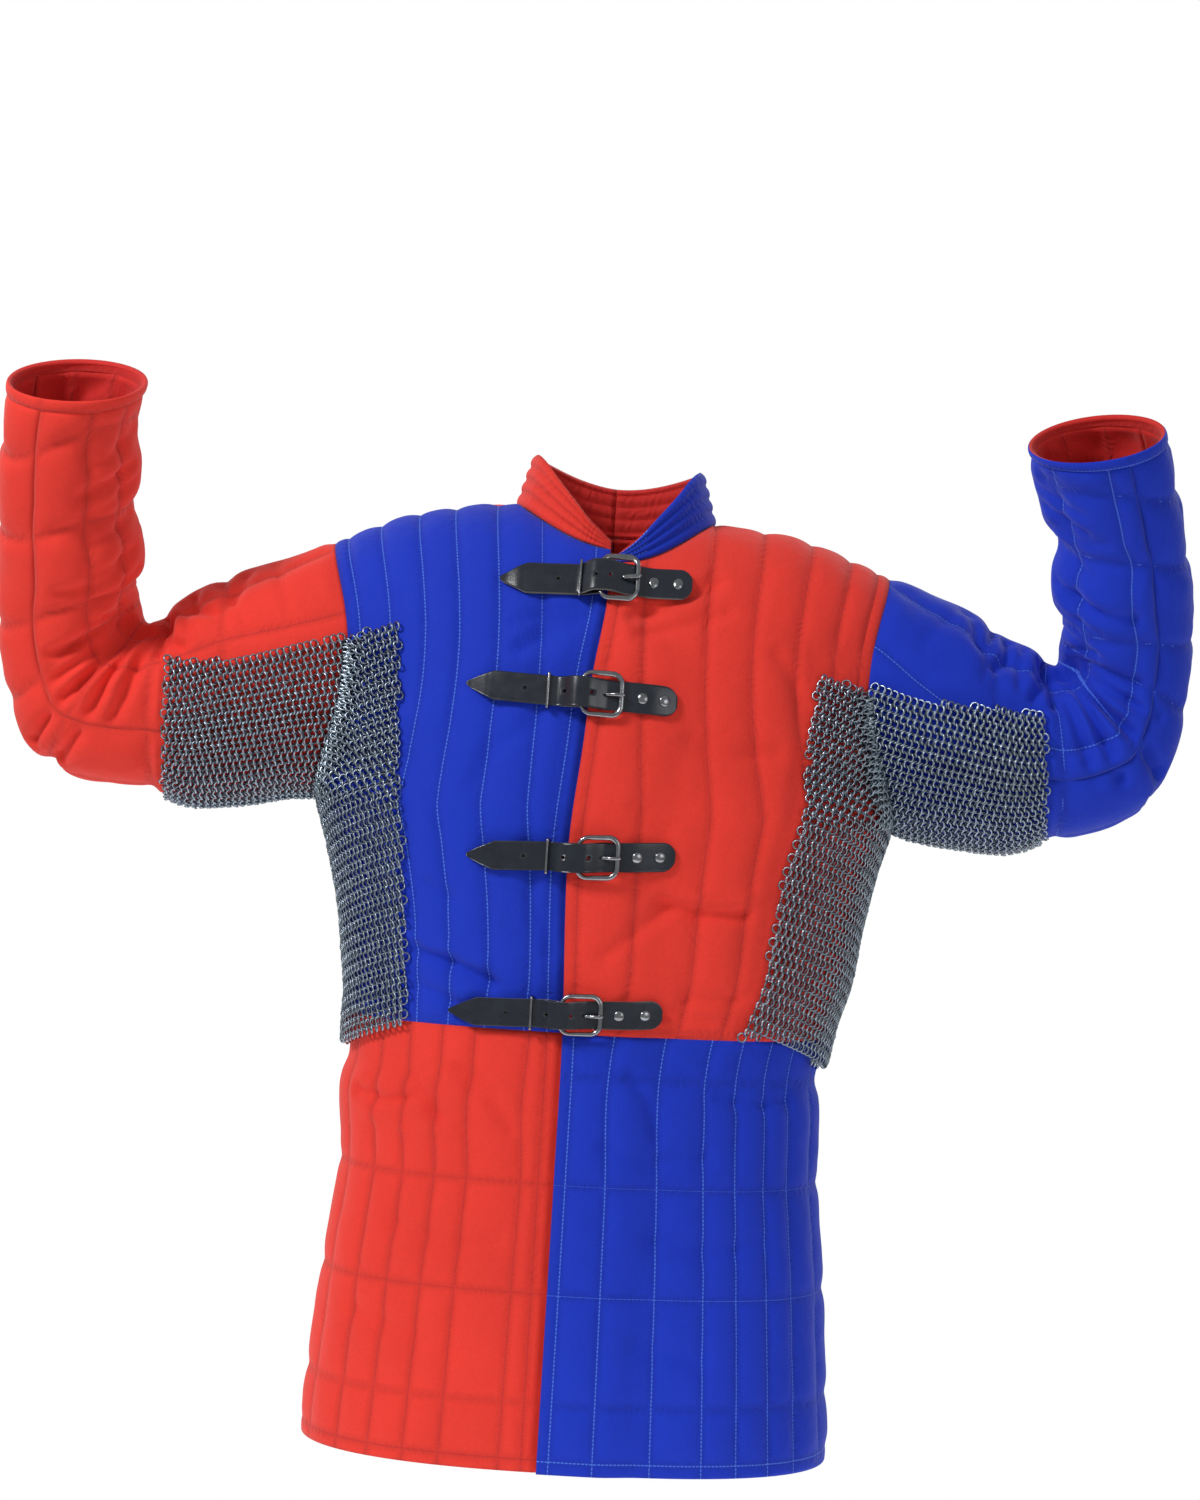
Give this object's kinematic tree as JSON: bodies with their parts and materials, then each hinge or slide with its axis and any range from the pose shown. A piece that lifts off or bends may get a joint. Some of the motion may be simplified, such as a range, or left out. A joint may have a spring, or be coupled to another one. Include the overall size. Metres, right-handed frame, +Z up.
{
  "type": "quilted gambeson with mail gussets, worn with raised forearms",
  "caption": "Padded arming coat quartered in red and blue, with a stand collar, mail under the arms, buckled straps down the front and sleeves bent up at the elbows.",
  "frame": {"origin": "the middle of the neck's base, level with the shoulders, where the wearer holds the garment up", "axes": "+Z up, the front faces -Y, the wearer's left is +X"},
  "size_m": [1.0875, 0.332, 0.9604],
  "materials": {
    "cloth_red": "matt quilted cotton",
    "cloth_blue": "matt quilted cotton",
    "mail": "zinc-grey wire rings",
    "leather": "smooth black",
    "nickel": "nickel plate"
  },
  "bodies": {
    "root": {"back_left": "cloth_blue", "back_right": "cloth_red", "buckle_1": "nickel", "buckle_2": "nickel", "buckle_3": "nickel", "buckle_4": "nickel", "collar_left": "cloth_blue", "collar_right": "cloth_red", "cuff_left": "cloth_blue", "cuff_right": "cloth_red", "front_left": "cloth_red", "front_right": "cloth_blue", "keeper_1": "nickel", "keeper_2": "nickel", "keeper_3": "nickel", "keeper_4": "nickel", "mail_left_back": "mail", "mail_left_front": "mail", "mail_left_sleeve": "mail", "mail_right_back": "mail", "mail_right_front": "mail", "mail_right_sleeve": "mail", "prong_1": "nickel", "prong_2": "nickel", "prong_3": "nickel", "prong_4": "nickel", "rivet_1_1": "nickel", "rivet_1_2": "nickel", "rivet_2_1": "nickel", "rivet_2_2": "nickel", "rivet_3_1": "nickel", "rivet_3_2": "nickel", "rivet_4_1": "nickel", "rivet_4_2": "nickel", "skirt_back_left": "cloth_red", "skirt_back_right": "cloth_blue", "skirt_front_left": "cloth_blue", "skirt_front_right": "cloth_red", "sleeve_left_main": "cloth_blue", "sleeve_left_under": "cloth_blue", "sleeve_right_main": "cloth_red", "sleeve_right_under": "cloth_red", "strap_1": "leather", "strap_2": "leather", "strap_3": "leather", "strap_4": "leather", "tab_1": "leather", "tab_2": "leather", "tab_3": "leather", "tab_4": "leather"}
  },
  "joints": []
}
